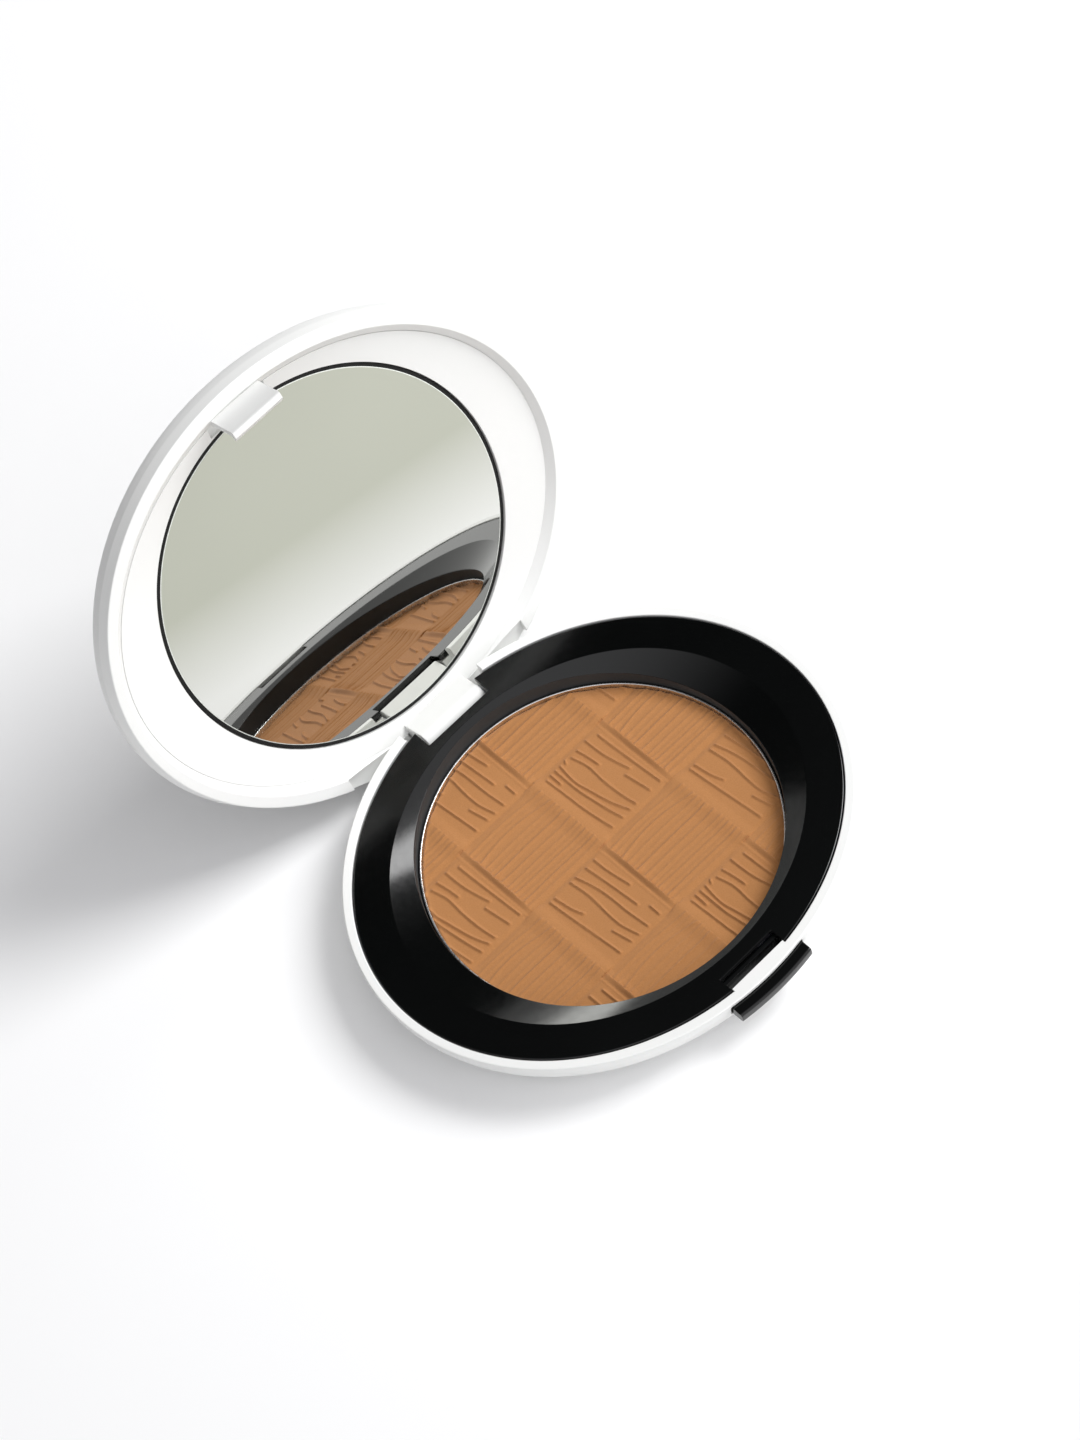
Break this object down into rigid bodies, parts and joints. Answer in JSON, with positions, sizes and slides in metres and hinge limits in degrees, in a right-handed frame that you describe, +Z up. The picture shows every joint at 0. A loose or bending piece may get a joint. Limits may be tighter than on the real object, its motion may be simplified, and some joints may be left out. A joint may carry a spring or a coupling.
{
  "type": "powder compact",
  "caption": "Oval makeup compact standing open: white shells, black tray with a round pan of pressed powder, mirror lid on a hinge pin, push-button latch.",
  "frame": {"origin": "middle of the base's flat underside, on the surface that it stands on", "axes": "+Z up, X along the hinge pin, +Y towards the hinge, so the push button is at -Y; the lid stands open at rest"},
  "size_m": [0.0882, 0.1109, 0.0731],
  "materials": {
    "white_plastic": "satin",
    "black_plastic": "gloss",
    "pressed_powder": "matte",
    "pan_aluminium": "satin",
    "mirror_glass": "polished",
    "pin_steel": "satin",
    "spring_steel": "satin",
    "foam_tape": "matte",
    "glue": "satin",
    "label_paper": "satin"
  },
  "bodies": {
    "base": {"base_shell": "white_plastic", "base_label": "label_paper", "tray": "black_plastic", "pan_glue": "glue", "powder_pan": "pan_aluminium", "powder_cake": "pressed_powder", "hinge_pin": "pin_steel"},
    "lid": {"lid_shell": "white_plastic", "mirror_frame": "white_plastic", "mirror_tape": "foam_tape", "mirror": "mirror_glass"},
    "button": {"latch_button": "black_plastic", "button_spring_left": "spring_steel", "button_spring_right": "spring_steel"}
  },
  "joints": [
    {"name": "lid_hinge", "type": "hinge", "parent": "base", "child": "lid", "pos_m": [0, 0.03476, 0.00647], "axis": [1, 0, 0], "range_deg": [0, 112]},
    {"name": "button_press", "type": "slide", "parent": "base", "child": "button", "axis": [0, 1, 0], "range_m": [0, 0.0009], "stiffness_N_per_m": 1500, "springref_m": -0.0006, "deforming": ["button_spring_left", "button_spring_right"]}
  ]
}
